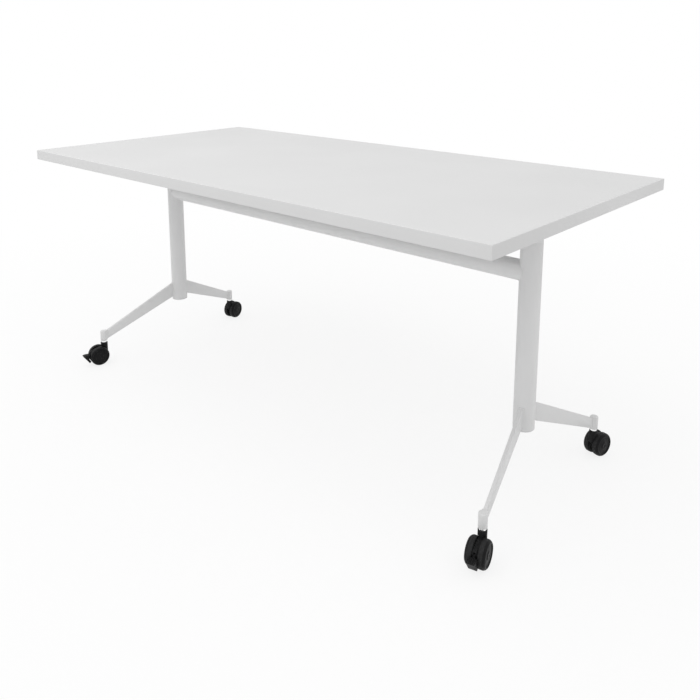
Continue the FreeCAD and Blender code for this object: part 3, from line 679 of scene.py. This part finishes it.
def screw_shape(head_radius, head_height, shank_radius, length):
    """Pan-head screw along +Z with its seat at the origin and its head below."""
    low = -head_height
    pit = low + RECESS_DEPTH
    outline = [
        (0.0, pit),
        (RECESS_FLOOR_SHARE * RECESS_RADIUS, pit),
        (RECESS_RADIUS, low),
        (HEAD_FLAT_SHARE * head_radius, low),
        (HEAD_TURN_SHARE * head_radius, low + TURN_RISE_SHARE * head_height),
        (head_radius, low + SIDE_RISE_SHARE * head_height),
        (head_radius, 0.0),
        (shank_radius, 0.0),
        (shank_radius, length - shank_radius),
        (0.0, length),
    ]
    bm = spun(outline, SCREW_STEPS)
    for vertex in bm.verts:
        x, y, z = vertex.co
        in_recess = NEAR < math.hypot(x, y) < RECESS_RADIUS + NEAR and z < pit + NEAR
        between_arms = abs(math.sin(2 * math.atan2(y, x))) > ARM_LIMIT
        if in_recess and between_arms:
            vertex.co.x *= RECESS_PINCH
            vertex.co.y *= RECESS_PINCH
    return bm


print("recess", round(2 * RECESS_RADIUS / MM, 1), "mm across,", round(RECESS_DEPTH / MM, 1), "mm deep")

# %% Screws of each group
SEAT_SHARE = 0.9


def solids_of(node):
    """The points of each separate solid in a node that holds a group."""
    bm = bmesh.new()
    bm.from_mesh(frame["nodes"][node].data)
    bmesh.ops.remove_doubles(bm, verts=bm.verts, dist=MERGE)
    waiting = set(bm.verts)
    groups = []
    while waiting:
        front = [waiting.pop()]
        group = []
        while front:
            vertex = front.pop()
            group.append(vertex.co.copy())
            for edge in vertex.link_edges:
                other = edge.other_vert(vertex)
                if other in waiting:
                    waiting.remove(other)
                    front.append(other)
        groups.append(group)
    bm.free()
    return groups


def make_screws(node):
    """Recessed screws in place of a CAD group, as one piece."""
    everything = bmesh.new()
    solids = solids_of(node)
    for points in solids:
        low = Vector([min(point[axis] for point in points) for axis in range(3)])
        high = Vector([max(point[axis] for point in points) for axis in range(3)])
        centre = (low + high) / 2
        head_radius = (high.x - low.x) / 2
        wide = SEAT_SHARE * head_radius
        seat = max(point.z for point in points if (point - centre).xy.length > wide)
        shank = [point for point in points if point.z > seat + MM]
        shank_radius = reach_along(shank, centre, UP)[2]
        one = screw_shape(head_radius, seat - low.z, shank_radius, high.z - seat)
        centre.z = seat
        bmesh.ops.transform(one, matrix=Matrix.Translation(centre), verts=one.verts)
        spare = bpy.data.meshes.new("spare")
        one.to_mesh(spare)
        one.free()
        everything.from_mesh(spare)
        bpy.data.meshes.remove(spare)
    piece(everything, node + "-recessed", body_of_node[node], zinc_plate, (node,))
    return len(solids)


print("screws:", {node: make_screws(node) for node in ("bracket_screws", "saddle_screws")})

# %% [markdown]
# ## Weld seams round the blades
# The frame is welded before it is coated, so a low rounded seam runs round the root and the tip of
# each blade. A curve with a round bevel could follow the joint, but its corners pinch. A thin block, a
# little larger than the blade's section and with its outer edges rounded, has clean corners, and its
# inner part lies hidden in the tube.

# %% Seams round the blades
ROOT_SEAM = 1.6 * MM
TIP_SEAM = 1.4 * MM
SEAM_BURIED = 3.0 * MM
SEAM_ROUND_SHARE = 0.85
SEAM_SEGMENTS = 5
END_SLICE = 2.0 * MM


def half_width(node):
    """Radius of a round upright piece, from its box."""
    low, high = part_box(node)
    return (high.x - low.x) / 2


def seam_collar(tube, outward, width, heights, seam):
    """Rounded block round the end of a blade that runs outward from an upright tube."""
    low, high = min(heights), max(heights)
    bm = bmesh.new()
    bmesh.ops.create_cube(bm, size=1.0)
    size = Vector((width + 2 * seam, high - low + 2 * seam, seam + SEAM_BURIED))
    bmesh.ops.scale(bm, vec=size, verts=bm.verts)
    bmesh.ops.translate(bm, vec=(0, 0, size.z / 2 - SEAM_BURIED), verts=bm.verts)
    rim = [edge for edge in bm.edges if all(vertex.co.z > 0 for vertex in edge.verts)]
    bmesh.ops.bevel(
        bm, geom=rim, offset=SEAM_ROUND_SHARE * seam, offset_type="OFFSET", affect="EDGES",
        segments=SEAM_SEGMENTS, profile=0.5, material=-1, clamp_overlap=True)
    centre = middle(tube) + outward * half_width(tube)
    centre.z = (low + high) / 2
    bmesh.ops.transform(bm, matrix=placed(centre, outward, outward.cross(UP)), verts=bm.verts)
    return bm


def make_blade_seams(corner):
    """Seams at both ends of one blade: its root on the column and its tip on the socket."""
    column = corner.split("_")[1] + "_column"
    socket = corner + "_castor_socket"
    column_axis = middle(column)
    outward = middle(socket) - column_axis
    outward.z = 0.0
    outward.normalize()
    sideways = outward.cross(UP)
    blade = points_of(corner + "_foot_blade")
    along = [(point - column_axis).dot(outward) for point in blade]
    across = [(point - column_axis).dot(sideways) for point in blade]
    width = max(across) - min(across)
    root = [point.z for point, place in zip(blade, along) if place < min(along) + END_SLICE]
    tip = [point.z for point, place in zip(blade, along) if place > max(along) - END_SLICE]
    root_seam = seam_collar(column, outward, width, root, ROOT_SEAM)
    piece(root_seam, corner + "_root_seam", "frame", powder_coat)
    tip_seam = seam_collar(socket, -outward, width, tip, TIP_SEAM)
    piece(tip_seam, corner + "_tip_seam", "frame", powder_coat)


corners = [end + "_" + side for side in ("left", "right") for end in ("front", "rear")]
for corner in corners:
    make_blade_seams(corner)
print(2 * len(corners), "seams round the blades")

# %% [markdown]
# ## Weld seams round the beam
# Where the round beam meets a round column, the joint is a saddle-shaped curve. Its points could be
# worked out one by one, but a plain ring spun round the beam needs only one more move: each point
# slides along the beam until it lies on the column.

# %% Seams round the beam
BEAM_SEAM = 1.4 * MM
SEAM_SIDES = 10
SEAM_STEPS = 120
beam_low, beam_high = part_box("crossbeam")
beam_radius = (beam_high.z - beam_low.z) / 2


def beam_seam(column, toward):
    """Ring round the beam that lies against one column; toward is +1 or -1 along X."""
    column_radius = half_width(column)
    bm = bmesh.new()
    bmesh.ops.create_circle(bm, radius=BEAM_SEAM, segments=SEAM_SIDES, cap_ends=False)
    upright = Matrix.Rotation(math.pi / 2, 3, "X")
    bmesh.ops.rotate(bm, verts=bm.verts, cent=(0, 0, 0), matrix=upright)
    bmesh.ops.translate(bm, verts=bm.verts, vec=(0, 0, beam_radius))
    bmesh.ops.spin(
        bm, geom=bm.verts[:] + bm.edges[:], cent=(0, 0, 0), axis=(1, 0, 0), angle=math.tau,
        steps=SEAM_STEPS, use_merge=True)
    bmesh.ops.remove_doubles(bm, verts=bm.verts, dist=MERGE)
    for vertex in bm.verts:
        across = beam_radius * math.cos(math.atan2(vertex.co.z, vertex.co.y))
        vertex.co.x += toward * math.sqrt(column_radius ** 2 - across ** 2)
    centre = middle(column)
    centre.z = middle("crossbeam").z
    bmesh.ops.translate(bm, verts=bm.verts, vec=centre)
    bmesh.ops.recalc_face_normals(bm, faces=bm.faces)
    return bm


for side, toward in (("left", 1), ("right", -1)):
    seam = beam_seam(side + "_column", toward)
    piece(seam, side + "_beam_seam", "frame", powder_coat)
print("a seam at each end of the beam, which is", round(2 * beam_radius / MM), "mm thick")

# %% [markdown]
# ## Floor
# The table stands on a pale floor that a picture shows as white paper. More light would turn the floor
# white too, but it would wash out the table. So the paint is mixed with a plain white glow for the
# rays a picture is made of: seen directly, mirrored or through glass. The light that the floor throws
# back on the table stays that of the paint. Near the table the glow is weaker, and a soft shadow shows.

# %% Floor sheet
FLOOR_HALF = 30.0

bm = bmesh.new()
bmesh.ops.create_grid(bm, x_segments=1, y_segments=1, size=FLOOR_HALF)
floor_mesh = bpy.data.meshes.new("floor")
bm.to_mesh(floor_mesh)
bm.free()
floor = bpy.data.objects.new("floor", floor_mesh)
scene.collection.objects.link(floor)
print("floor", 2 * FLOOR_HALF, "m square")

# %% Floor paint
WHITE = (1.0, 1.0, 1.0, 1.0)
FLOOR_WHITE = (0.90, 0.90, 0.90, 1.0)
FADE_START = 0.4
FADE_END = 2.6
PAPER_SHARE = 0.82


def rays_that_see(tree):
    """Socket that is 1 for the rays a picture is made of: seen directly, mirrored or through glass."""
    path = tree.nodes.new("ShaderNodeLightPath")
    total = path.outputs["Is Camera Ray"]
    for kind in ("Is Glossy Ray", "Is Transmission Ray"):
        either = tree.nodes.new("ShaderNodeMath")
        either.operation = "MAXIMUM"
        tree.links.new(total, either.inputs[0])
        tree.links.new(path.outputs[kind], either.inputs[1])
        total = either.outputs["Value"]
    return total


floor_paint = bpy.data.materials.new("floor_paint")
floor_paint.use_nodes = True
tree = floor_paint.node_tree
floor_shader = tree.nodes["Principled BSDF"]
floor_shader.inputs["Base Color"].default_value = FLOOR_WHITE
floor_shader.inputs["Roughness"].default_value = 0.9
floor_shader.inputs["Specular IOR Level"].default_value = 0.1
coordinates = tree.nodes.new("ShaderNodeTexCoord")
distance = tree.nodes.new("ShaderNodeVectorMath")
distance.operation = "LENGTH"
tree.links.new(coordinates.outputs["Object"], distance.inputs[0])
fade = tree.nodes.new("ShaderNodeMapRange")
fade.interpolation_type = "SMOOTHSTEP"
fade.inputs["From Min"].default_value = FADE_START
fade.inputs["From Max"].default_value = FADE_END
fade.inputs["To Min"].default_value = PAPER_SHARE
tree.links.new(distance.outputs["Value"], fade.inputs["Value"])
seen = tree.nodes.new("ShaderNodeMath")
seen.operation = "MULTIPLY"
tree.links.new(fade.outputs["Result"], seen.inputs[0])
tree.links.new(rays_that_see(tree), seen.inputs[1])
paper = tree.nodes.new("ShaderNodeEmission")
paper.inputs["Color"].default_value = WHITE
blend = tree.nodes.new("ShaderNodeMixShader")
tree.links.new(seen.outputs["Value"], blend.inputs["Fac"])
tree.links.new(floor_shader.outputs["BSDF"], blend.inputs[1])
tree.links.new(paper.outputs["Emission"], blend.inputs[2])
tree.links.new(blend.outputs["Shader"], tree.nodes["Material Output"].inputs["Surface"])
floor_mesh.materials.append(floor_paint)
print("floor glow", PAPER_SHARE, "under the table, 1 from", FADE_END, "m out")

# %% [markdown]
# ## Light
# A white studio lights a table evenly from all round, so most of the light comes from the world, which
# a picture shows as white in the same way as the floor. Small lamps would throw hard shadows that such
# a picture lacks. One large lamp overhead makes the top a little lighter than the sides, and a weak
# one to the right gives the columns some shape.

# %% World
AMBIENT = 0.74

world = bpy.data.worlds.new("studio")
scene.world = world
world.use_nodes = True
tree = world.node_tree
around = tree.nodes["Background"]
around.inputs["Color"].default_value = WHITE
around.inputs["Strength"].default_value = AMBIENT
backdrop = tree.nodes.new("ShaderNodeBackground")
backdrop.inputs["Color"].default_value = WHITE
backdrop.inputs["Strength"].default_value = 1.0
blend = tree.nodes.new("ShaderNodeMixShader")
tree.links.new(rays_that_see(tree), blend.inputs["Fac"])
tree.links.new(around.outputs["Background"], blend.inputs[1])
tree.links.new(backdrop.outputs["Background"], blend.inputs[2])
tree.links.new(blend.outputs["Shader"], tree.nodes["World Output"].inputs["Surface"])
print("light from all round at", AMBIENT, "of white")

# %% Lamps
AIM = Vector((0.0, 0.0, 0.45))


def soft_lamp(name, place, width, power):
    """Square area lamp that faces the table."""
    data = bpy.data.lights.new(name, "AREA")
    data.shape = "SQUARE"
    data.size = width
    data.energy = power
    lamp = bpy.data.objects.new(name, data)
    lamp.location = place
    lamp.rotation_mode = "QUATERNION"
    lamp.rotation_quaternion = (AIM - Vector(place)).to_track_quat("-Z", "Y")
    scene.collection.objects.link(lamp)
    print(name, "lamp", width, "m wide,", power, "W")


soft_lamp("overhead", place=(-0.45, -1.3, 3.2), width=3.0, power=40.0)
soft_lamp("side", place=(2.6, 1.6, 2.4), width=2.4, power=8.0)

# %% [markdown]
# ## Camera
# The camera stands where the picture was taken, a little above the top. Tilting it down alone would
# make the columns lean together, and a level camera needs a lens shift so large that other views lose
# part of the table. A slight tilt with a moderate shift keeps the columns nearly upright and the views
# whole. Focal length and shift are written in pixels of the picture.

# %% Camera at the picture's place
PICTURE = 700.0
FOCAL = 755.8
SHIFT = 170.0
SENSOR_MM = 36.0
CAMERA_PLACE = Vector((1.4333, -1.4705, 1.0573))
CAMERA_AZIMUTH = 41.66
CAMERA_PITCH = 10.86

camera_data = bpy.data.cameras.new("camera")
camera_data.sensor_width = SENSOR_MM
camera_data.lens = SENSOR_MM * FOCAL / PICTURE
camera_data.shift_y = -SHIFT / PICTURE
camera = bpy.data.objects.new("camera", camera_data)
camera.location = CAMERA_PLACE
camera.rotation_euler = (math.radians(90.0 - CAMERA_PITCH), 0.0, math.radians(CAMERA_AZIMUTH))
scene.collection.objects.link(camera)
scene.camera = camera
scene.view_settings.view_transform = "Standard"
print("lens", round(camera_data.lens, 2), "mm")

# %% [markdown]
# ## Count the pieces
# Nothing is resized, so the dressed table is as large as the CAD one. The last line prints how many
# pieces were made.

# %% Number of pieces made
print(len(made), "pieces made")
